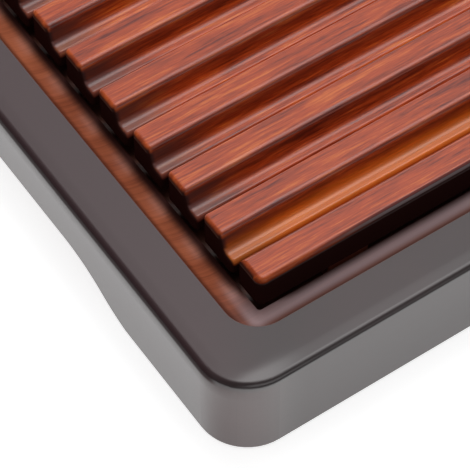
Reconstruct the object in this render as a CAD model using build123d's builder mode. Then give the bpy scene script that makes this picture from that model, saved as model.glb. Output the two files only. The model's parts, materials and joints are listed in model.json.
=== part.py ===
from build123d import *
import os

# A gongfu tea tray. A mitred hardwood frame on four corner feet closes a shallow basin, and a
# slatted drain board lies in it, flush with the rim, and lifts out. Tea poured away runs between
# the slats onto the basin floor and leaves by a drain near the back, which a plug closes.
# Millimetres. X runs along the long side, Y to the back, Z up from the surface it stands on, and
# the origin is under the middle of the tray.

# Frame, outside
tray_length = 600.0
tray_width = 350.0
rail_height = 45.0
corner_radius = 22.0
top_arris_radius = 2.5
foot_arris_radius = 1.0

# Rim and the cove on its inner side, down to the narrow flat beside the board
rim_width = 21.5
rim_corner_radius = 15.0
cove_radius = 14.5
cove_depth = 17.0
cove_flat_width = 3.0
basin_corner_radius = 1.5

# Apron: flat foot, ogee curve and raised middle on each side
long_side_foot = 118.0
short_side_foot = 66.0
ogee_length = 55.0
apron_rise = 13.5

# Loose tongues in the mitres
tongue_inset = 19.0
tongue_width = 20.0
tongue_thickness = 4.0
tongue_top_cover = 8.0
tongue_bottom_cover = 5.0
tongue_fit = 0.1

# Rubber foot pads
pad_radius = 8.0
pad_thickness = 3.0
pad_seat_depth = 1.5
pad_seat_fit = 0.2
pad_edge_radius = 0.5
pad_from_end = 45.0
pad_from_side = 20.0

# Basin floor, held in a groove
floor_thickness = 5.0
groove_depth = 7.0
groove_end_play = 0.5
groove_fit = 0.1

# Slats of the drain board
slat_count = 11
slat_height = 16.0
slat_gap = 5.0
front_slat_width = 13.8
ledge_width = 6.0
ledge_depth = 9.0
wall_run = 3.3
back_arris_radius = 0.8
near_arris_radius = 2.5
crease_radius = 3.0
ledge_nose_radius = 2.0
slat_end_radius = 1.9
board_corner_radius = 3.5
board_clearance = 1.0

# Bearers under the slats
bearer_width = 20.0
bearer_height = 8.0
bearer_end_inset = 43.0
bearer_edge_radius = 1.0
notch_width = 9.0
notch_height = 3.5

# Countersunk screws, driven up through the bearers
screw_radius = 1.75
screw_head_radius = 3.5
screw_head_height = 2.2
screw_recess = 0.4
screw_bite = 8.0
screw_fit = 0.15

# Drain fitting
drain_from_wall = 35.0
flange_radius = 18.0
flange_thickness = 1.6
flange_seat_fit = 0.3
gasket_thickness = 0.8
stem_radius = 10.0
stem_bore_radius = 7.5
stem_fit = 0.2
nut_across_flats = 28.0
nut_thickness = 4.0
stem_below_nut = 2.0

# Hose elbow
spigot_radius = 5.0
spigot_bore_radius = 3.6
spigot_length = 20.0
shoulder_reach = 1.5
shoulder_width = 12.0
elbow_ground_clearance = 1.0
spigot_edge_radius = 0.5
elbow_insert_radius = 7.3
elbow_insert_bore_radius = 5.2
elbow_insert_depth = 5.5
elbow_seat_gap = 0.2
elbow_base_thickness = 1.2

# Strainer disc
strainer_radius = 7.2
strainer_thickness = 1.0
strainer_hole_radius = 0.9
strainer_ring_radii = (2.8, 5.4)
strainer_ring_counts = (5, 10)

# Drain plug
plug_stem_top_radius = 7.2
plug_stem_tip_radius = 6.8
plug_stem_length = 3.5
plug_cap_radius = 10.5
plug_cap_thickness = 1.6
plug_cap_edge_radius = 0.5
plug_tab_height = 2.6
plug_tab_width = 9.0
plug_tab_thickness = 2.0
plug_tab_corner_radius = 1.2

# How far every cutting tool runs past what it cuts
overrun = 2.0

# Heights
pad_proud = pad_thickness - pad_seat_depth
frame_base_z = pad_proud
rim_z = frame_base_z + rail_height
cove_base_z = rim_z - cove_depth
slat_base_z = rim_z - slat_height
ledge_z = rim_z - ledge_depth
floor_top_z = slat_base_z - bearer_height
floor_base_z = floor_top_z - floor_thickness
tongue_base_z = frame_base_z + tongue_bottom_cover
tongue_height = rail_height - tongue_bottom_cover - tongue_top_cover

# Plan sizes
half_length = tray_length / 2
half_width = tray_width / 2
rail_width = rim_width + cove_radius + cove_flat_width
basin_length = tray_length - 2 * rail_width
basin_width = tray_width - 2 * rail_width
board_length = basin_length - 2 * board_clearance
board_width = basin_width - 2 * board_clearance
board_front_y = -board_width / 2

# Slat spacing
slat_pitch = (board_width - front_slat_width) / (slat_count - 1)
slat_width = slat_pitch - slat_gap
slat_top_width = slat_width - ledge_width - wall_run
slat_backs = [board_front_y + front_slat_width + index * slat_pitch for index in range(slat_count)]
screw_rows = [board_front_y + front_slat_width / 2]
screw_rows += [back - slat_top_width / 2 for back in slat_backs[1:]]
bearer_x = board_length / 2 - bearer_end_inset
bearer_places = {"left": -bearer_x, "middle": 0.0, "right": bearer_x}

# The drain is midway between two bearers, near the back wall of the basin
drain_x = bearer_x / 2
drain_y = basin_width / 2 - drain_from_wall

# Drain heights
flange_base_z = floor_top_z - flange_thickness
gasket_base_z = flange_base_z - gasket_thickness
nut_base_z = floor_base_z - nut_thickness
stem_base_z = nut_base_z - stem_below_nut
insert_top_z = stem_base_z + elbow_insert_depth
collar_top_z = stem_base_z - elbow_seat_gap
elbow_base_z = elbow_ground_clearance
spigot_z = (elbow_base_z + collar_top_z) / 2


# What is cut away below a side: its raised middle, with two tangent arcs down to each foot
def apron_profile(plane, side_length, foot_length):
    curve_start = side_length / 2 - foot_length
    curve_end = curve_start - ogee_length
    curve_middle = (curve_start + curve_end) / 2
    raised_z = frame_base_z + apron_rise
    middle_z = frame_base_z + apron_rise / 2
    below_z = frame_base_z - overrun
    with BuildSketch(plane) as profile:
        with BuildLine():
            Line((0, below_z), (curve_start, below_z))
            Line((curve_start, below_z), (curve_start, frame_base_z))
            lower = TangentArc((curve_start, frame_base_z), (curve_middle, middle_z), tangent=(-1, 0))
            upper = TangentArc(lower @ 1, (curve_end, raised_z), tangent=lower % 1)
            Line(upper @ 1, (0, raised_z))
            mirror(about=Plane.YZ)
        make_face()
    return profile.sketch


# A tongue in the joint of the corner on the given sides, grown by fit for its mortise
def tongue_block(side_x, side_y, fit):
    place = (side_x * (half_length - tongue_inset), side_y * (half_width - tongue_inset))
    with BuildPart() as block:
        with BuildSketch(Plane.XY.offset(tongue_base_z - fit)):
            with Locations(place):
                Rectangle(tongue_width + 2 * fit, tongue_thickness + 2 * fit, rotation=-45 * side_x * side_y)
        extrude(amount=tongue_height + 2 * fit)
    return block


# The screws of one bearer, grown by fit for the holes they lie in
def screw_set(x, fit):
    with BuildPart() as screws:
        with Locations(*[(x, y, floor_top_z + screw_recess) for y in screw_rows]):
            Cone(
                screw_head_radius + fit,
                screw_radius + fit,
                screw_head_height,
                align=(Align.CENTER, Align.CENTER, Align.MIN),
            )
            Cylinder(
                screw_radius + fit,
                bearer_height - screw_recess + screw_bite + fit,
                align=(Align.CENTER, Align.CENTER, Align.MIN),
            )
    return screws


# Where the four foot pads are stuck, under the ends of the long rails
pad_x = half_length - pad_from_end
pad_y = half_width - pad_from_side
corners = {
    "front_left": (-1, -1),
    "front_right": (1, -1),
    "back_left": (-1, 1),
    "back_right": (1, 1),
}

# The cutter that a round-nosed bit would follow for the cove
with BuildPart() as cove_cutter:
    with BuildSketch(Plane.XY.offset(cove_base_z)):
        RectangleRounded(tray_length - 2 * rim_width, tray_width - 2 * rim_width, rim_corner_radius)
    extrude(amount=cove_depth + overrun)
    fillet(cove_cutter.faces().sort_by(Axis.Z)[0].edges(), cove_radius)

# The whole frame as one ring, from which the four rails are cut
with BuildPart() as frame_ring:
    with BuildSketch(Plane.XY.offset(frame_base_z)):
        RectangleRounded(tray_length, tray_width, corner_radius)
    extrude(amount=rail_height)
    fillet(frame_ring.faces().sort_by(Axis.Z)[-1].edges(), top_arris_radius)
    fillet(frame_ring.faces().sort_by(Axis.Z)[0].edges(), foot_arris_radius)
    with BuildSketch(Plane.XY.offset(frame_base_z - overrun)):
        RectangleRounded(basin_length, basin_width, basin_corner_radius)
    extrude(amount=rail_height + 2 * overrun, mode=Mode.SUBTRACT)
    add(cove_cutter.part, mode=Mode.SUBTRACT)
    with BuildSketch(Plane.XY.offset(floor_base_z)):
        Rectangle(basin_length + 2 * groove_depth, basin_width + 2 * groove_depth)
    extrude(amount=floor_thickness + groove_fit, mode=Mode.SUBTRACT)
    long_apron = apron_profile(Plane.XZ, tray_length, long_side_foot)
    extrude(long_apron, amount=tray_width, both=True, mode=Mode.SUBTRACT)
    short_apron = apron_profile(Plane.YZ, tray_width, short_side_foot)
    extrude(short_apron, amount=tray_length, both=True, mode=Mode.SUBTRACT)
    with BuildSketch(Plane.XY.offset(frame_base_z - overrun)):
        with GridLocations(2 * pad_x, 2 * pad_y, 2, 2):
            Circle(pad_radius + pad_seat_fit)
    extrude(amount=pad_seat_depth + overrun, mode=Mode.SUBTRACT)
    for side_x, side_y in corners.values():
        add(tongue_block(side_x, side_y, tongue_fit).part, mode=Mode.SUBTRACT)

# Plan of the wedge between two mitres that holds each rail
mitre_reach = rail_width + overrun
mitre_x = half_length - mitre_reach
mitre_y = half_width - mitre_reach
rail_plans = {
    "front_rail": [
        (-half_length, -half_width),
        (half_length, -half_width),
        (mitre_x, -mitre_y),
        (-mitre_x, -mitre_y),
    ],
    "back_rail": [
        (-mitre_x, mitre_y),
        (mitre_x, mitre_y),
        (half_length, half_width),
        (-half_length, half_width),
    ],
    "left_rail": [
        (-half_length, -half_width),
        (-mitre_x, -mitre_y),
        (-mitre_x, mitre_y),
        (-half_length, half_width),
    ],
    "right_rail": [
        (half_length, half_width),
        (mitre_x, mitre_y),
        (mitre_x, -mitre_y),
        (half_length, -half_width),
    ],
}

os.makedirs("parts", exist_ok=True)


# Names a finished piece and writes it
def write_piece(piece, name):
    piece.part.label = name
    export_step(piece.part, f"parts/{name}.step")


# The four mitred rails
for rail_name, plan in rail_plans.items():
    with BuildPart() as rail:
        add(frame_ring.part)
        with BuildSketch(Plane.XY):
            Polygon(*plan, align=None)
        extrude(amount=rim_z + overrun, mode=Mode.INTERSECT)
    write_piece(rail, rail_name)

# Mitre tongues and foot pads, one of each at every corner
for corner_name, (side_x, side_y) in corners.items():
    tongue = tongue_block(side_x, side_y, 0)
    write_piece(tongue, f"mitre_tongue_{corner_name}")

    with BuildPart() as foot_pad:
        with BuildSketch(Plane.XY):
            with Locations((side_x * pad_x, side_y * pad_y)):
                Circle(pad_radius)
        extrude(amount=pad_thickness)
        fillet(foot_pad.edges().group_by(Axis.Z)[0], pad_edge_radius)
    write_piece(foot_pad, f"foot_pad_{corner_name}")

# Basin floor, with a stepped hole for the drain
with BuildPart() as basin_floor:
    with BuildSketch(Plane.XY.offset(floor_base_z)):
        Rectangle(
            basin_length + 2 * (groove_depth - groove_end_play),
            basin_width + 2 * (groove_depth - groove_end_play),
        )
    extrude(amount=floor_thickness)
    with Locations((drain_x, drain_y, floor_top_z)):
        CounterBoreHole(stem_radius + stem_fit, flange_radius + flange_seat_fit, floor_top_z - gasket_base_z)
write_piece(basin_floor, "basin_floor")

# Front slat: plain, with both upper arrises and its outer corners rounded
pilot_radius = screw_radius + screw_fit
with BuildPart() as front_slat:
    with BuildSketch(Plane.XY.offset(slat_base_z)):
        with Locations((0, board_front_y + front_slat_width / 2)):
            front_plan = Rectangle(board_length, front_slat_width)
        fillet(front_plan.vertices().group_by(Axis.Y)[0], board_corner_radius)
    extrude(amount=slat_height)
    fillet(front_slat.faces().sort_by(Axis.Z)[-1].edges(), near_arris_radius)
    with BuildSketch(Plane.XY.offset(slat_base_z)):
        with Locations(*[(x, screw_rows[0]) for x in bearer_places.values()]):
            Circle(pilot_radius)
    extrude(amount=screw_bite + screw_fit, mode=Mode.SUBTRACT)
write_piece(front_slat, "slat_01")

# The other slats: each has a low ledge on its front side, below a steep hollow wall
for index in range(1, slat_count):
    back = slat_backs[index]
    with BuildPart() as slat:
        with BuildSketch(Plane.YZ.offset(-board_length / 2)):
            with BuildLine():
                FilletPolyline(
                    (back, slat_base_z),
                    (back, rim_z),
                    (back - slat_top_width, rim_z),
                    (back - slat_top_width - wall_run, ledge_z),
                    (back - slat_width, ledge_z),
                    (back - slat_width, slat_base_z),
                    radius=[0, back_arris_radius, near_arris_radius, crease_radius, ledge_nose_radius, 0],
                    close=True,
                )
            make_face()
        extrude(amount=board_length)
        end_edges = slat.faces().filter_by(Axis.X).edges()
        fillet(end_edges.filter_by_position(Axis.Z, slat_base_z + ledge_nose_radius, rim_z), slat_end_radius)
        with BuildSketch(Plane.XY.offset(slat_base_z)):
            with Locations(*[(x, screw_rows[index]) for x in bearer_places.values()]):
                Circle(pilot_radius)
        extrude(amount=screw_bite + screw_fit, mode=Mode.SUBTRACT)
    write_piece(slat, f"slat_{index + 1:02d}")

# Bearers, with drain notches below every second gap, and the screws that hold the slats to them
notch_rows = [slat_backs[index] + slat_gap / 2 for index in range(0, slat_count - 1, 2)]
for side, x in bearer_places.items():
    with BuildPart() as bearer:
        with BuildSketch(Plane.XY.offset(floor_top_z)):
            with Locations((x, 0)):
                Rectangle(bearer_width, board_width)
        extrude(amount=bearer_height)
        fillet(bearer.edges().filter_by(Axis.Z), bearer_edge_radius)
        with BuildSketch(Plane.XY.offset(floor_top_z - overrun)):
            with Locations(*[(x, y) for y in notch_rows]):
                Rectangle(bearer_width + overrun, notch_width)
        extrude(amount=notch_height + overrun, mode=Mode.SUBTRACT)
        add(screw_set(x, screw_fit).part, mode=Mode.SUBTRACT)
        with BuildSketch(Plane.XY.offset(floor_top_z)):
            with Locations(*[(x, y) for y in screw_rows]):
                Circle(screw_head_radius + screw_fit)
        extrude(amount=screw_recess, mode=Mode.SUBTRACT)
    write_piece(bearer, f"bearer_{side}")
    write_piece(screw_set(x, 0), f"bearer_screws_{side}")

# Drain body: flange in the floor's seat, threaded stem below it
with BuildPart() as drain_body:
    with BuildSketch(Plane.XY.offset(flange_base_z)):
        with Locations((drain_x, drain_y)):
            Circle(flange_radius)
    extrude(amount=flange_thickness)
    with BuildSketch(Plane.XY.offset(stem_base_z)):
        with Locations((drain_x, drain_y)):
            Circle(stem_radius)
    extrude(amount=flange_base_z - stem_base_z)
    with Locations((drain_x, drain_y, floor_top_z)):
        Hole(stem_bore_radius)
    bore_mouth = drain_body.edges().filter_by(GeomType.CIRCLE).group_by(Axis.Z)[-1].sort_by(SortBy.RADIUS)[0]
    rim_edge = drain_body.edges().filter_by(GeomType.CIRCLE).group_by(Axis.Z)[-1].sort_by(SortBy.RADIUS)[-1]
    chamfer([bore_mouth, rim_edge], flange_thickness / 4)
write_piece(drain_body, "drain_body")

# Sealing ring under the flange
with BuildPart() as drain_gasket:
    with BuildSketch(Plane.XY.offset(gasket_base_z)):
        with Locations((drain_x, drain_y)):
            Circle(flange_radius)
            Circle(stem_radius + stem_fit, mode=Mode.SUBTRACT)
    extrude(amount=gasket_thickness)
write_piece(drain_gasket, "drain_gasket")

# Lock nut under the floor
with BuildPart() as drain_nut:
    with BuildSketch(Plane.XY.offset(nut_base_z)):
        with Locations((drain_x, drain_y)):
            RegularPolygon(nut_across_flats / 2, 6, major_radius=False)
            Circle(stem_radius + stem_fit / 2, mode=Mode.SUBTRACT)
    extrude(amount=nut_thickness)
write_piece(drain_nut, "drain_nut")

# Hose elbow: its insert pushes up into the stem, and its spigot points to the back from a shoulder
shoulder_y = drain_y + stem_radius + shoulder_reach
spigot_end_y = shoulder_y + spigot_length
with BuildPart() as hose_elbow:
    with BuildSketch(Plane.XY.offset(elbow_base_z)):
        with Locations((drain_x, drain_y)):
            Circle(stem_radius)
    extrude(amount=collar_top_z - elbow_base_z)
    with BuildSketch(Plane.XY.offset(collar_top_z)):
        with Locations((drain_x, drain_y)):
            Circle(elbow_insert_radius)
    extrude(amount=insert_top_z - collar_top_z)
    with BuildSketch(Plane.XZ.offset(-shoulder_y)):
        with Locations((drain_x, spigot_z)):
            Rectangle(shoulder_width, collar_top_z - elbow_base_z)
    extrude(amount=shoulder_y - drain_y)
    with BuildSketch(Plane.XZ.offset(-spigot_end_y)):
        with Locations((drain_x, spigot_z)):
            Circle(spigot_radius)
    extrude(amount=spigot_end_y - drain_y)
    tip = hose_elbow.faces().sort_by(Axis.Y)[-1].edges()
    fillet(tip, spigot_edge_radius)
    with BuildSketch(Plane.XZ.offset(-spigot_end_y - overrun)):
        with Locations((drain_x, spigot_z)):
            Circle(spigot_bore_radius)
    extrude(amount=spigot_end_y + overrun - drain_y, mode=Mode.SUBTRACT)
    with BuildSketch(Plane.XY.offset(elbow_base_z + elbow_base_thickness)):
        with Locations((drain_x, drain_y)):
            Circle(elbow_insert_bore_radius)
    extrude(amount=insert_top_z - elbow_base_z, mode=Mode.SUBTRACT)
write_piece(hose_elbow, "hose_elbow")

# Strainer disc, resting on the elbow's insert
with BuildPart() as drain_strainer:
    with BuildSketch(Plane.XY.offset(insert_top_z)):
        with Locations((drain_x, drain_y)):
            Circle(strainer_radius)
            Circle(strainer_hole_radius, mode=Mode.SUBTRACT)
            for ring_radius, ring_count in zip(strainer_ring_radii, strainer_ring_counts):
                with PolarLocations(ring_radius, ring_count):
                    Circle(strainer_hole_radius, mode=Mode.SUBTRACT)
    extrude(amount=strainer_thickness)
write_piece(drain_strainer, "drain_strainer")

# Drain plug: tapered stem in the bore, cap on the flange, and a tab to pull it by
with BuildPart() as drain_plug:
    with Locations((drain_x, drain_y, floor_top_z)):
        Cone(
            plug_stem_tip_radius,
            plug_stem_top_radius,
            plug_stem_length,
            align=(Align.CENTER, Align.CENTER, Align.MAX),
        )
        Cylinder(
            plug_cap_radius,
            plug_cap_thickness,
            align=(Align.CENTER, Align.CENTER, Align.MIN),
        )
    fillet(drain_plug.faces().sort_by(Axis.Z)[-1].edges(), plug_cap_edge_radius)
    with BuildSketch(Plane.XZ.offset(-drain_y)):
        with Locations((drain_x, floor_top_z + plug_cap_thickness + plug_tab_height / 2)):
            tab_face = Rectangle(plug_tab_width, plug_tab_height)
        fillet(tab_face.vertices().group_by(Axis.Z)[-1], plug_tab_corner_radius)
    extrude(amount=plug_tab_thickness / 2, both=True)
write_piece(drain_plug, "drain_plug")
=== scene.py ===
import json
from math import cos, radians, sin

import bpy
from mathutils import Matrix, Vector


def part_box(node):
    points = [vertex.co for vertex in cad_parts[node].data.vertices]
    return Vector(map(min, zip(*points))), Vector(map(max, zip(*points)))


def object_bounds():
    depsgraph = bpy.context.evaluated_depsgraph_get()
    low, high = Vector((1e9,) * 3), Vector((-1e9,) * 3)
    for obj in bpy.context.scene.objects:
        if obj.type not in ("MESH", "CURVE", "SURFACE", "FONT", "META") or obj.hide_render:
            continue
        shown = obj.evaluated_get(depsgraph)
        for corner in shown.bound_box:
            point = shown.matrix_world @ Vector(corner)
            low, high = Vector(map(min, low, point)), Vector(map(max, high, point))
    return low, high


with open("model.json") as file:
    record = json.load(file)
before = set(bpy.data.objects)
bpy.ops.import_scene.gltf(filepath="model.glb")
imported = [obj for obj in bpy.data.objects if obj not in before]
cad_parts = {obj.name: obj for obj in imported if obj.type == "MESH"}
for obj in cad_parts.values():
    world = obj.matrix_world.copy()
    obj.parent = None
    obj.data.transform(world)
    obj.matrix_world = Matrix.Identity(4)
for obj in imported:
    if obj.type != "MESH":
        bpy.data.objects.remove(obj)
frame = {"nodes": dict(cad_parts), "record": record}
cad_low, cad_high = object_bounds()

# Places that the frame gives, in metres
RIM_Z = cad_high[2]
HALF_LENGTH, HALF_WIDTH = cad_high[0], cad_high[1]
BOARD_LOW, BOARD_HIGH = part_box("slat_01")
BOARD_HALF_LENGTH = BOARD_HIGH.x
BOARD_HALF_WIDTH = -BOARD_LOW.y

# The photograph's camera: its lens, the direction that it stands in as seen from the rim's near
# corner, and its place along and across that direction
FRAME_PIXELS = 470
CAMERA_FOCAL_PIXELS = 2691
CAMERA_SENSOR = 36.0
CAMERA_CLIP_START = 0.05
CAMERA_AZIMUTH = radians(-34.05)
CAMERA_ELEVATION = radians(54.34)
CAMERA_ROLL = radians(-0.33)
CAMERA_DISTANCE = 1.0077
CAMERA_RIGHT = 0.00140
CAMERA_UP = 0.06395
CAMERA_BACK = Vector(
    (
        sin(CAMERA_AZIMUTH) * cos(CAMERA_ELEVATION),
        -cos(CAMERA_AZIMUTH) * cos(CAMERA_ELEVATION),
        sin(CAMERA_ELEVATION),
    )
)


# Adds a node, sets its properties and inputs, and returns it
def add_node(tree, kind, inputs=None, **settings):
    node = tree.nodes.new(kind)
    for key, value in settings.items():
        setattr(node, key, value)
    for key, value in (inputs or {}).items():
        if isinstance(value, bpy.types.NodeSocket):
            tree.links.new(value, node.inputs[key])
        else:
            node.inputs[key].default_value = value
    return node


def calc(tree, operation, *values, clamp=False):
    node = add_node(tree, "ShaderNodeMath", dict(enumerate(values)), operation=operation, use_clamp=clamp)
    return node.outputs[0]


def times(tree, value, *factors):
    for factor in factors:
        value = calc(tree, "MULTIPLY", value, factor)
    return value


def inverted(tree, value):
    return calc(tree, "SUBTRACT", 1.0, value)


# A band is a pair: where a change starts, and where it is complete. This is 0 before the band and
# 1 past it
def rising(tree, value, band):
    inputs = {"Value": value, "From Min": band[0], "From Max": band[1]}
    node = add_node(tree, "ShaderNodeMapRange", inputs, interpolation_type="SMOOTHSTEP")
    return node.outputs["Result"]


# 1 before the band and 0 past it
def falling(tree, value, band):
    return inverted(tree, rising(tree, value, band))


# Noise in the object's own space. The density is how fast it changes along each axis
def noise(tree, place, density, detail=3.0, roughness=0.55, distortion=0.0):
    scaled = add_node(tree, "ShaderNodeVectorMath", {0: place, 1: density}, operation="MULTIPLY")
    inputs = {"Vector": scaled.outputs["Vector"], "Scale": 1.0, "Detail": detail}
    inputs["Roughness"] = roughness
    inputs["Distortion"] = distortion
    return add_node(tree, "ShaderNodeTexNoise", inputs).outputs["Fac"]


def ramp(tree, factor, *stops):
    node = add_node(tree, "ShaderNodeValToRGB", {"Fac": factor})
    elements = node.color_ramp.elements
    while len(elements) < len(stops):
        elements.new(0.5)
    for element, (position, colour) in zip(elements, stops):
        element.position = position
        element.color = (*colour, 1.0)
    return node.outputs["Color"]


# The mix node's inputs are numbered, as those for its other data types share their names
def mixed(tree, factor, first, second, blend="MIX"):
    node = add_node(tree, "ShaderNodeMix", data_type="RGBA", blend_type=blend)
    for index, value in ((0, factor), (6, first), (7, second)):
        if isinstance(value, bpy.types.NodeSocket):
            tree.links.new(value, node.inputs[index])
        elif isinstance(value, tuple):
            node.inputs[index].default_value = (*value, 1.0)
        else:
            node.inputs[index].default_value = value
    return node.outputs[2]


# Mixes a share of a tint into a colour, where the mask is
def tinted(tree, colour, mask, share, tint):
    return mixed(tree, times(tree, mask, share), colour, tint)


def bump(tree, height, distance, strength=1.0):
    inputs = {"Height": height, "Distance": distance, "Strength": strength}
    return add_node(tree, "ShaderNodeBump", inputs).outputs["Normal"]


# A new material: returns it with its tree, its shader and the object coordinates
def new_material(name, **sockets):
    material = bpy.data.materials.new(name)
    material.use_nodes = True
    tree = material.node_tree
    shader = tree.nodes["Principled BSDF"]
    for key, value in sockets.items():
        shader.inputs[key.replace("_", " ")].default_value = value
    place = add_node(tree, "ShaderNodeTexCoord").outputs["Object"]
    return material, tree, shader, place


def connect(tree, shader, **outputs):
    for key, value in outputs.items():
        tree.links.new(value, shader.inputs[key.replace("_", " ")])


def separated(tree, vector):
    return add_node(tree, "ShaderNodeSeparateXYZ", {0: vector}).outputs


# How far a place is from the ends of an axis, on either side of the middle
def from_ends(tree, axis, half_size):
    return calc(tree, "SUBTRACT", half_size, calc(tree, "ABSOLUTE", axis))


# How far inside a rectangle with rounded corners a point lies, seen from above. Beyond the corner
# radius it stays at the radius
def depth_inside(tree, axes, half_length, half_width, corner_radius):
    squares = []
    for axis, half_size in ((0, half_length), (1, half_width)):
        past = calc(tree, "SUBTRACT", calc(tree, "ABSOLUTE", axes[axis]), half_size - corner_radius)
        squares.append(calc(tree, "POWER", calc(tree, "MAXIMUM", past, 0.0), 2.0))
    reach = calc(tree, "SQRT", calc(tree, "ADD", *squares))
    return calc(tree, "SUBTRACT", corner_radius, reach)


# Slats: tones of the wood from dark to bright streaks
SLAT_TONES = (
    (0.34, (0.12, 0.010, 0.004)),
    (0.45, (0.30, 0.040, 0.009)),
    (0.54, (0.44, 0.062, 0.013)),
    (0.66, (0.62, 0.150, 0.028)),
)
BROAD_SHARE = 0.4

# Slats: painted shade and highlight, as factors on the wood by the drop below the top in centimetres:
# dark lines at the arrises and on the hollow wall, and a lighter, greyer ledge. They run from the flat
# top past the upper arris and the hollow wall to the ledge, and mottling moves them up and down a little
CENTIMETRES = 100.0
SLAT_PAINTED_SHADE_AND_HIGHLIGHT = (
    (0.02, (0.95, 0.95, 1.00)),
    (0.10, (0.50, 0.50, 0.75)),
    (0.17, (1.00, 0.95, 1.05)),
    (0.32, (0.60, 0.48, 0.60)),
    (0.48, (0.95, 0.80, 0.65)),
    (0.65, (1.40, 1.50, 1.10)),
    (0.90, (1.25, 1.35, 1.50)),
)
SHADE_WANDER = 0.006
WANDER_STARTS = (0.0010, 0.0030)

# The second slat's ledge is more orange, between these places
WARM_LEDGE_BACK_Y = -0.1100
WARM_LEDGE_FRONT_Y = -0.1175
WARM_FADE = 0.003
WARM_ORANGE = (0.66, 0.17, 0.018)

# Painted shade near the slats' ends, with a painted grey sheen on the ledge's ends, by the distance from
# the end and the drop below the top
END_SHADE_FADES = (0.004, 0.034)
END_SHADE_SHARE = 0.75
END_SHADE_LESS_ON_WARM = -0.5
WALL_STARTS = (0.0014, 0.0030)
LEDGE_STARTS = (0.0066, 0.0078)
LEDGE_FLAT_STARTS = (0.0087, 0.0090)
WALL_END_SHADE = (0.080, 0.029, 0.024)
LEDGE_END_SHADE_AND_SHEEN = (0.120, 0.080, 0.084)
LEDGE_FLAT_END_SHADE = (0.125, 0.050, 0.040)

# Worn arrises along the board's outline, mottled from dark to bright orange
BOARD_CORNER_RADIUS = 0.0035
WEAR_INSIDE_FADES = (0.0010, 0.0028)
WEAR_DROP_FADES = (0.0018, 0.0034)
WEAR_TONES = ((0.42, (0.26, 0.036, 0.008)), (0.58, (0.50, 0.090, 0.016)))

# Painted shade on the rim of the hollow wall at the slats' very ends
END_RIM_FADES = (0.0010, 0.0030)
END_RIM_STARTS = (0.0020, 0.0036)
END_RIM_STOPS = (0.0066, 0.0080)
END_RIM_SHADE = (0.040, 0.020, 0.021)

# The front slat's long arris, between its ends: painted shade on it, and a painted grey reflection below
FRONT_FACE_DEPTH = 0.0045
FRONT_LINE_STARTS = (0.018, 0.065)
FRONT_ARRIS_STARTS = (0.00002, 0.00010)
FRONT_ARRIS_STOPS = (0.0003, 0.0006)
FRONT_ARRIS_SHADE = (0.180, 0.055, 0.050)
REFLECTION_LINE_STARTS = (0.0004, 0.0007)
REFLECTION_LINE_STOPS = (0.0013, 0.0018)
REFLECTION_GREY = (0.210, 0.160, 0.165)

# The board's outer sides, and all of the slats below their ledges, are dark with painted shade, without
# gloss.
# A side's edge lies in from the outline, and further in along the front. The dark starts below the
# top, and lower on the front face
SIDE_EDGE = (0.0004, 0.0013)
SIDE_EDGE_MORE_AT_FRONT = (0.0010, 0.0012)
SIDE_STARTS = (0.0004, 0.0018)
SIDE_LOWER_AT_FRONT = 0.0011
TOP_GLOSS_FADES = (0.0016, 0.0036)
GAP_STARTS = (0.0100, 0.0118)
SIDE_PAINTED_SHADE = (0.030, 0.011, 0.010)

# The ledge's nose, below its flat, has less gloss
NOSE_STARTS = (0.00902, 0.00914)
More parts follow.
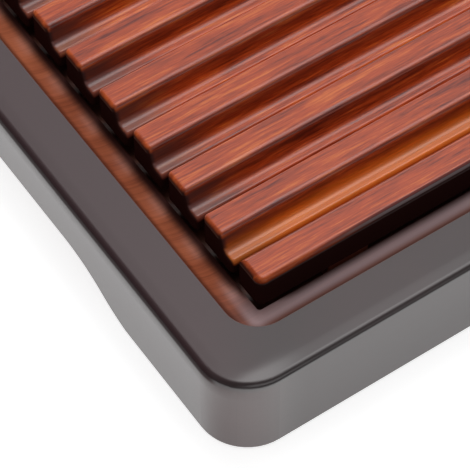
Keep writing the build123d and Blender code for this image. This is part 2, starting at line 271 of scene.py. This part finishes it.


# Glossy orange-brown wood of the slats, with fine streaks along X. Painted shade and highlight along the
# arrises and the hollow wall follow the drop below the top. The ends are darker with painted shade, and
# the arrises above them worn
def slat_wood():
    material, tree, shader, place = new_material("slat_wood", Coat_Roughness=0.20)
    axes = separated(tree, place)
    drop = calc(tree, "SUBTRACT", RIM_Z, axes[2])
    from_end = from_ends(tree, axes[0], BOARD_HALF_LENGTH)
    inside = depth_inside(tree, axes, BOARD_HALF_LENGTH, BOARD_HALF_WIDTH, BOARD_CORNER_RADIUS)

    fine = noise(tree, place, (75, 1150, 1150), 3.0, 0.65)
    streak = noise(tree, place, (26, 430, 430), 3.0, 0.6, 0.4)
    broad = noise(tree, place, (9, 110, 110), 2.0)
    mottle = noise(tree, place, (55, 230, 230), 4.0, 0.65)
    grain = calc(tree, "ADD", times(tree, fine, 0.5), times(tree, streak, 0.5))
    tone = calc(tree, "ADD", grain, times(tree, calc(tree, "SUBTRACT", broad, 0.5), BROAD_SHARE))
    colour = ramp(tree, tone, *SLAT_TONES)
    warm = falling(tree, axes[1], (WARM_LEDGE_BACK_Y, WARM_LEDGE_BACK_Y + WARM_FADE))
    warm = times(tree, warm, calc(tree, "GREATER_THAN", axes[1], WARM_LEDGE_FRONT_Y))
    colour = tinted(tree, colour, warm, 0.6, WARM_ORANGE)
    # Painted shade and highlight along the arrises, the hollow wall and the ledge
    uneven = times(tree, calc(tree, "SUBTRACT", mottle, 0.5), SHADE_WANDER)
    uneven = times(tree, uneven, rising(tree, drop, WANDER_STARTS))
    painted_shading = ramp(tree, times(tree, calc(tree, "ADD", drop, uneven), CENTIMETRES), *SLAT_PAINTED_SHADE_AND_HIGHLIGHT)
    colour = mixed(tree, 1.0, colour, painted_shading, "MULTIPLY")

    # Painted shade at the ends, and worn arrises
    at_end = falling(tree, from_end, END_SHADE_FADES)
    at_end = times(tree, at_end, calc(tree, "MULTIPLY_ADD", warm, END_SHADE_LESS_ON_WARM, END_SHADE_SHARE))
    end_shading = mixed(tree, rising(tree, drop, LEDGE_STARTS), WALL_END_SHADE, LEDGE_END_SHADE_AND_SHEEN)
    end_shading = mixed(tree, rising(tree, drop, LEDGE_FLAT_STARTS), end_shading, LEDGE_FLAT_END_SHADE)
    colour = mixed(tree, times(tree, at_end, rising(tree, drop, WALL_STARTS)), colour, end_shading)
    worn = falling(tree, inside, WEAR_INSIDE_FADES)
    worn = times(tree, worn, falling(tree, drop, WEAR_DROP_FADES))
    colour = tinted(tree, colour, worn, 0.8, ramp(tree, mottle, *WEAR_TONES))
    # Painted shade on the hollow wall's rim at the slats' ends
    end_rim = falling(tree, from_end, END_RIM_FADES)
    end_rim = times(tree, end_rim, rising(tree, drop, END_RIM_STARTS), falling(tree, drop, END_RIM_STOPS))
    colour = tinted(tree, colour, end_rim, 0.8, END_RIM_SHADE)

    # Painted shade on the board's outer sides and below the ledges
    front_face = calc(tree, "LESS_THAN", calc(tree, "ADD", axes[1], BOARD_HALF_WIDTH), FRONT_FACE_DEPTH)
    at_front = times(tree, front_face, rising(tree, from_end, FRONT_LINE_STARTS))
    low, high = (
        calc(tree, "MULTIPLY_ADD", at_front, more, edge)
        for more, edge in zip(SIDE_EDGE_MORE_AT_FRONT, SIDE_EDGE)
    )
    clear = rising(tree, inside, (low, high))
    side_drop = calc(tree, "MULTIPLY_ADD", front_face, -SIDE_LOWER_AT_FRONT, drop)
    near_top = times(tree, falling(tree, side_drop, SIDE_STARTS), inverted(tree, at_front))
    shiny = calc(tree, "MAXIMUM", clear, falling(tree, drop, TOP_GLOSS_FADES))
    clear = calc(tree, "MAXIMUM", clear, near_top)
    above_gap = falling(tree, drop, GAP_STARTS)
    clear = times(tree, clear, above_gap)
    shiny = times(tree, shiny, above_gap)
    colour = mixed(tree, clear, SIDE_PAINTED_SHADE, colour)

    # The front slat's long arris, without gloss and with painted shade over it, and a painted grey
    # reflection line below
    over_arris = falling(tree, drop, FRONT_ARRIS_STOPS)
    over_arris = times(tree, over_arris, rising(tree, drop, FRONT_ARRIS_STARTS), at_front)
    shiny = times(tree, shiny, inverted(tree, over_arris))
    colour = tinted(tree, colour, over_arris, 0.8, FRONT_ARRIS_SHADE)
    reflection_line = times(tree, rising(tree, drop, REFLECTION_LINE_STARTS), at_front, falling(tree, drop, REFLECTION_LINE_STOPS))
    colour = tinted(tree, colour, reflection_line, 0.7, REFLECTION_GREY)

    # Less gloss on the ledge's nose, the dark rim and the worn arrises
    plain = times(tree, rising(tree, drop, NOSE_STARTS), 0.85)
    plain = calc(tree, "MAXIMUM", plain, times(tree, end_rim, 0.7))
    plain = calc(tree, "MAXIMUM", plain, times(tree, worn, 0.5))
    shiny = times(tree, shiny, inverted(tree, plain))
    connect(tree, shader, Specular_IOR_Level=times(tree, shiny, 0.5))
    connect(tree, shader, Coat_Weight=times(tree, shiny, 0.6))
    rough = calc(tree, "ADD", 0.30, times(tree, fine, 0.14))
    connect(tree, shader, Base_Color=colour, Roughness=rough, Normal=bump(tree, grain, 0.00012, 0.5))
    return material


# Frame: the rim's inner arris, where the black stain ends and the cove begins, the rounding of the
# cove's foot and of the outline at the corners, and the mitre, past which a short side starts
RIM_WIDTH = 0.0215
ARRIS_CORNER_RADIUS = 0.015
COVE_EDGE = -0.0001
FOOT_CORNER_RADIUS = 0.036
CORNER_RADIUS = 0.022
SHORT_SIDE_STARTS = (HALF_LENGTH - HALF_WIDTH - 0.020, HALF_LENGTH - HALF_WIDTH + 0.030)

# Frame: the black stain, redder on the short sides, on the outer faces and at the corners
BLACK_TONES = ((0.35, (0.026, 0.019, 0.020)), (0.72, (0.040, 0.024, 0.025)))
SHORT_SIDE_STAIN = (0.052, 0.027, 0.030)
FACE_STARTS = (0.0020, 0.0040)
FACE_STAIN = (0.055, 0.027, 0.027)
CORNER_REACH = (0.030, 0.008)
CORNER_FACE_STARTS = (0.0020, 0.0060)
CORNER_STAIN = (0.090, 0.028, 0.028)

# Frame: the cove's lacquer, a painted reflection on it at the front, and painted shade below the inner
# arris and at the foot. Depths are from the inner arris towards the board
COVE_TONES = ((0.35, (0.20, 0.045, 0.020)), (0.65, (0.42, 0.120, 0.055)))
FRONT_SHEEN_FADES = (-HALF_WIDTH + 0.026, -HALF_WIDTH + 0.062)
FRONT_SHEEN_LIGHTENS = (0.0092, 0.0135)
FRONT_SHEEN_DARK = (0.18, 0.098, 0.088)
FRONT_SHEEN_LIGHT = (0.58, 0.47, 0.50)
COVE_FOOT_STARTS = (0.0115, 0.0165)
COVE_FOOT_SHIFT_IN_SHEEN = -0.0028
COVE_FOOT_SHADE = (0.035, 0.012, 0.010)
COVE_TOP_STOPS = (0.0052, 0.0082)
COVE_TOP_WIDER_ON_LONG_SIDES = 0.0022
COVE_TOP_SHADE = (0.050, 0.010, 0.006)

# Frame: the short sides' outer arrises are sanded dull, down to a small drop
SANDED_FADES = (0.0006, 0.0020)
SANDED_DROP_FADES = (0.0040, 0.0062)
SANDED_SHARE = 0.85

# Frame: the slight crown of the rim inside its outer arris, stronger at the corners, where the rim
# is also more polished
CROWN_WIDTH = 0.0075
CROWN_DROP = 0.0006
CORNER_CROWN_DROP = 0.0011
CORNER_CROWN_WIDTH = 0.0125
CORNER_CROWN_STARTS = (HALF_LENGTH - 0.042, HALF_LENGTH - 0.010)
POLISH_FADES = (0.004, CORNER_CROWN_WIDTH)
POLISH = 0.65
POLISH_MORE_AT_CORNERS = 0.35

# Frame: the short sides' faces lean in a little below their outer arris
LEAN_TOP = 0.0010
LEAN_FOOT = 0.0115
LEAN_DROP = 0.0034


# Black stain on the frame, and red-brown lacquer in the cove, split at the rim's inner arris, with painted
# shade below the arris and towards the cove's foot, and a painted reflection at the front
def frame_wood():
    material, tree, shader, place = new_material("frame_wood", Roughness=0.36, Coat_Roughness=0.16)
    axes = separated(tree, place)
    drop = calc(tree, "SUBTRACT", RIM_Z, axes[2])
    inner_length, inner_width = HALF_LENGTH - RIM_WIDTH, HALF_WIDTH - RIM_WIDTH
    depth = depth_inside(tree, axes, inner_length, inner_width, ARRIS_CORNER_RADIUS)
    round_depth = depth_inside(tree, axes, inner_length, inner_width, FOOT_CORNER_RADIUS)
    in_cove = calc(tree, "GREATER_THAN", depth, COVE_EDGE)
    past_mitre = calc(tree, "SUBTRACT", calc(tree, "ABSOLUTE", axes[0]), calc(tree, "ABSOLUTE", axes[1]))
    short_side = rising(tree, past_mitre, SHORT_SIDE_STARTS)
    long_grain = noise(tree, place, (14, 160, 160), 4.0, 0.6)
    cross_grain = noise(tree, place, (160, 14, 160), 4.0, 0.6)
    cove_streak = noise(tree, place, (28, 900, 28), 3.0, 0.6)
    cloud = noise(tree, place, (14, 14, 30), 3.0)

    # The black stain
    black = ramp(tree, cloud, *BLACK_TONES)
    black = tinted(tree, black, short_side, 0.8, SHORT_SIDE_STAIN)
    black = tinted(tree, black, rising(tree, drop, FACE_STARTS), 0.6, FACE_STAIN)
    at_corner = rising(tree, drop, CORNER_FACE_STARTS)
    for axis, half_size in ((0, HALF_LENGTH), (1, HALF_WIDTH)):
        reach = (half_size - CORNER_REACH[0], half_size - CORNER_REACH[1])
        at_corner = times(tree, at_corner, rising(tree, calc(tree, "ABSOLUTE", axes[axis]), reach))
    black = tinted(tree, black, at_corner, 0.7, CORNER_STAIN)

    # The cove
    cove_tone = calc(tree, "ADD", times(tree, cove_streak, 0.5), times(tree, cloud, 0.5))
    red = ramp(tree, cove_tone, *COVE_TONES)
    # A painted grey reflection on the front cove, lighter deeper in
    front_sheen = falling(tree, axes[1], FRONT_SHEEN_FADES)
    painted_sheen = mixed(tree, rising(tree, depth, FRONT_SHEEN_LIGHTENS), FRONT_SHEEN_DARK, FRONT_SHEEN_LIGHT)
    red = tinted(tree, red, front_sheen, 0.8, painted_sheen)
    foot_depth = calc(tree, "MULTIPLY_ADD", front_sheen, COVE_FOOT_SHIFT_IN_SHEEN, round_depth)
    # Painted shade towards the cove's foot, beside the board
    near_board = rising(tree, foot_depth, COVE_FOOT_STARTS)
    red = mixed(tree, near_board, red, COVE_FOOT_SHADE)
    # Painted shade on the cove's steep wall below the inner arris
    wider = COVE_TOP_WIDER_ON_LONG_SIDES
    steep_depth = calc(tree, "SUBTRACT", depth, calc(tree, "MULTIPLY_ADD", short_side, -wider, wider))
    red = tinted(tree, red, falling(tree, steep_depth, COVE_TOP_STOPS), 0.75, COVE_TOP_SHADE)

    # Gloss, less in the cove, little on the sanded arrises and none at the cove's foot
    sanded = falling(tree, from_ends(tree, axes[0], HALF_LENGTH), SANDED_FADES)
    sanded = times(tree, sanded, falling(tree, drop, SANDED_DROP_FADES), SANDED_SHARE)
    dull = calc(tree, "MAXIMUM", times(tree, in_cove, near_board), sanded)
    gloss = inverted(tree, times(tree, in_cove, 0.6))
    gloss = times(tree, gloss, inverted(tree, dull))
    from_side = from_ends(tree, axes[1], HALF_WIDTH)
    along = rising(tree, calc(tree, "ABSOLUTE", axes[0]), CORNER_CROWN_STARTS)
    polished = times(tree, falling(tree, from_side, POLISH_FADES), along)
    polished = calc(tree, "MULTIPLY_ADD", polished, POLISH_MORE_AT_CORNERS, POLISH)
    connect(tree, shader, Specular_IOR_Level=calc(tree, "MULTIPLY_ADD", dull, -0.48, 0.5))
    connect(tree, shader, Coat_Weight=times(tree, gloss, polished))

    # Crown, lean and grain, as shading only
    from_edge = depth_inside(tree, axes, HALF_LENGTH, HALF_WIDTH, CORNER_RADIUS)
    crown = times(tree, falling(tree, from_edge, (0.0, CROWN_WIDTH)), -CROWN_DROP)
    worn_corner = calc(tree, "POWER", falling(tree, from_side, (0.0, CORNER_CROWN_WIDTH)), 2.0)
    worn_corner = times(tree, worn_corner, along, CORNER_CROWN_DROP)
    crown = calc(tree, "SUBTRACT", crown, worn_corner)
    above_foot = calc(tree, "SUBTRACT", LEAN_FOOT, drop)
    above_foot = calc(tree, "DIVIDE", above_foot, LEAN_FOOT - LEAN_TOP, clamp=True)
    lean = times(tree, inverted(tree, calc(tree, "POWER", above_foot, 2.0)), LEAN_DROP)
    lean = times(tree, lean, short_side, inverted(tree, in_cove))
    grain = times(tree, calc(tree, "ADD", long_grain, cross_grain), 0.00002)
    height = calc(tree, "ADD", calc(tree, "ADD", grain, crown), lean)
    connect(tree, shader, Coat_Normal=bump(tree, times(tree, worn_corner, -1.0), 1.0))
    connect(tree, shader, Base_Color=mixed(tree, in_cove, black, red), Normal=bump(tree, height, 1.0))
    return material


# Wood of the basin floor, the bearers and the tongues, streaked along X between two tones
def streaked_wood(name, dark, bright):
    material, tree, shader, place = new_material(name, Roughness=0.4, Coat_Weight=0.2, Coat_Roughness=0.2)
    streak = noise(tree, place, (9, 240, 240), 4.0, 0.6)
    connect(tree, shader, Base_Color=ramp(tree, streak, (0.35, dark), (0.65, bright)))
    connect(tree, shader, Normal=bump(tree, streak, 0.00008, 0.3))
    return material


def metal(name, colour, roughness):
    material, tree, shader, place = new_material(name, Metallic=1.0, Base_Color=(*colour, 1.0))
    wear = calc(tree, "SUBTRACT", noise(tree, place, (400, 400, 400), 3.0), 0.5)
    connect(tree, shader, Roughness=calc(tree, "ADD", roughness, times(tree, wear, 0.15)))
    return material


def rubber(name, colour):
    material, tree, shader, place = new_material(name, Roughness=0.6)
    speck = noise(tree, place, (900, 900, 900), 2.0)
    dark = tuple(0.8 * part for part in colour)
    connect(tree, shader, Base_Color=ramp(tree, speck, (0.3, dark), (0.7, colour)))
    connect(tree, shader, Normal=bump(tree, speck, 0.00005, 0.3))
    return material


finishes = {
    "frame_wood": frame_wood(),
    "slat_wood": slat_wood(),
    "bearer_wood": streaked_wood("bearer_wood", (0.09, 0.02, 0.01), (0.20, 0.05, 0.022)),
    "floor_wood": streaked_wood("floor_wood", (0.03, 0.009, 0.006), (0.08, 0.022, 0.012)),
    "tongue_wood": streaked_wood("tongue_wood", (0.30, 0.16, 0.08), (0.45, 0.27, 0.15)),
    "screw_steel": metal("screw_steel", (0.60, 0.60, 0.62), 0.3),
    "fitting_brass": metal("fitting_brass", (0.72, 0.50, 0.22), 0.3),
    "strainer_steel": metal("strainer_steel", (0.62, 0.62, 0.63), 0.28),
    "pad_rubber": rubber("pad_rubber", (0.03, 0.03, 0.03)),
    "seal_rubber": rubber("seal_rubber", (0.45, 0.45, 0.43)),
    "plug_rubber": rubber("plug_rubber", (0.04, 0.035, 0.035)),
}
for part in frame["record"]["subparts"]:
    node = frame["nodes"][part["node"]]
    for slot in node.material_slots:
        slot.material = finishes[part["material_slot"]]

# The floor is white and glows to the camera. In the object's gloss it darkens away from the tray
FLOOR_SIZE = 12.0
FLOOR_GLOW = 0.75
FLOOR_WHITE = (0.86, 0.86, 0.86)
FLOOR_DARK = (0.10, 0.10, 0.11)
FLOOR_DARKENS = (0.03, 0.10)
WHITE = (1.0, 1.0, 1.0, 1.0)


def staged_floor():
    bpy.ops.mesh.primitive_plane_add(size=FLOOR_SIZE, location=(0.0, 0.0, 0.0))
    floor = bpy.context.object
    floor.name = "floor"
    material, tree, shader, place = new_material("floor_white", Roughness=0.9, Emission_Color=WHITE)
    path = add_node(tree, "ShaderNodeLightPath").outputs
    seen = calc(tree, "MAXIMUM", path["Is Camera Ray"], path["Is Glossy Ray"])
    seen = calc(tree, "MAXIMUM", seen, path["Is Transmission Ray"])
    beyond = depth_inside(tree, separated(tree, place), HALF_LENGTH, HALF_WIDTH, CORNER_RADIUS)
    far = times(tree, rising(tree, times(tree, beyond, -1.0), FLOOR_DARKENS), path["Is Glossy Ray"])
    connect(tree, shader, Base_Color=mixed(tree, far, FLOOR_WHITE, FLOOR_DARK))
    connect(tree, shader, Emission_Strength=times(tree, seen, inverted(tree, far), FLOOR_GLOW))
    floor.data.materials.append(material)


# How much of the white surroundings lights the object
WORLD_LIGHT = 0.35

# What the object's gloss shows: pale sky behind and in front, a panel above that is brightest in its
# middle, and a dark ceiling elsewhere. The bands are cosines of the angle to each of them
SKY_BEHIND = (0.60, 0.85)
SKY_BEHIND_STRENGTH = 1.5
SKY_IN_FRONT = (0.82, 0.94)
PANEL_DIRECTION = Vector((0.33, 0.02, 0.94)).normalized()
PANEL = (0.70, 0.90)
PANEL_STRENGTH = 1.1
PANEL_MIDDLE = (0.91, 0.985)
PANEL_MIDDLE_STRENGTH = 2.0
DARK_CEILING = 0.08


# White to the camera, plain light on the object, and a plain studio in its gloss
def white_world():
    world = bpy.data.worlds.new("studio")
    bpy.context.scene.world = world
    world.use_nodes = True
    tree = world.node_tree
    background = tree.nodes["Background"]
    background.inputs["Color"].default_value = WHITE
    path = add_node(tree, "ShaderNodeLightPath").outputs
    direction = add_node(tree, "ShaderNodeTexCoord").outputs["Generated"]
    to_back = separated(tree, direction)[1]
    inputs = {0: direction, 1: PANEL_DIRECTION}
    towards = add_node(tree, "ShaderNodeVectorMath", inputs, operation="DOT_PRODUCT").outputs["Value"]
    behind = times(tree, rising(tree, to_back, SKY_BEHIND), SKY_BEHIND_STRENGTH)
    in_front = rising(tree, times(tree, to_back, -1.0), SKY_IN_FRONT)
    panel = times(tree, rising(tree, towards, PANEL), PANEL_STRENGTH)
    middle = times(tree, rising(tree, towards, PANEL_MIDDLE), PANEL_MIDDLE_STRENGTH)
    above = calc(tree, "MAXIMUM", calc(tree, "ADD", panel, middle), DARK_CEILING)
    mirrored = calc(tree, "MAXIMUM", calc(tree, "MAXIMUM", behind, in_front), above)
    mirrored = times(tree, mirrored, path["Is Glossy Ray"])
    seen = calc(tree, "MAXIMUM", path["Is Camera Ray"], path["Is Transmission Ray"])
    seen = calc(tree, "MAXIMUM", seen, mirrored)
    strength = calc(tree, "MAXIMUM", seen, times(tree, path["Is Diffuse Ray"], WORLD_LIGHT))
    tree.links.new(strength, background.inputs["Strength"])


# A softbox that points at the floor below the tray's middle. The gloss doesn't show it
def soft_light(name, place, size, power):
    data = bpy.data.lights.new(name, "AREA")
    data.shape = "RECTANGLE"
    data.size, data.size_y = size
    data.energy = power
    lamp = bpy.data.objects.new(name, data)
    bpy.context.collection.objects.link(lamp)
    lamp.location = place
    lamp.rotation_euler = (-Vector(place)).to_track_quat("-Z", "Y").to_euler()
    lamp.visible_glossy = False


# The camera looks from the front left, with the rim's near corner below the middle of its picture
def photo_camera():
    data = bpy.data.cameras.new("photo_camera")
    data.sensor_width = CAMERA_SENSOR
    data.lens = CAMERA_FOCAL_PIXELS * CAMERA_SENSOR / FRAME_PIXELS
    data.clip_start = CAMERA_CLIP_START
    camera = bpy.data.objects.new("photo_camera", data)
    bpy.context.collection.objects.link(camera)
    bpy.context.scene.camera = camera
    turn = CAMERA_BACK.to_track_quat("Z", "Y")
    right, up = turn @ Vector((1, 0, 0)), turn @ Vector((0, 1, 0))
    corner = Vector((-HALF_LENGTH, -HALF_WIDTH, RIM_Z))
    camera.location = corner + CAMERA_RIGHT * right + CAMERA_UP * up + CAMERA_DISTANCE * CAMERA_BACK
    camera.rotation_euler = turn.to_euler()
    camera.rotation_euler.rotate_axis("Z", CAMERA_ROLL)


staged_floor()
white_world()
soft_light("key_light", (0.6, 1.2, 1.3), (1.4, 0.8), 18.0)
soft_light("top_light", (0.25, 0.35, 1.6), (0.9, 0.9), 10.0)
photo_camera()
bpy.context.scene.view_settings.view_transform = "Standard"
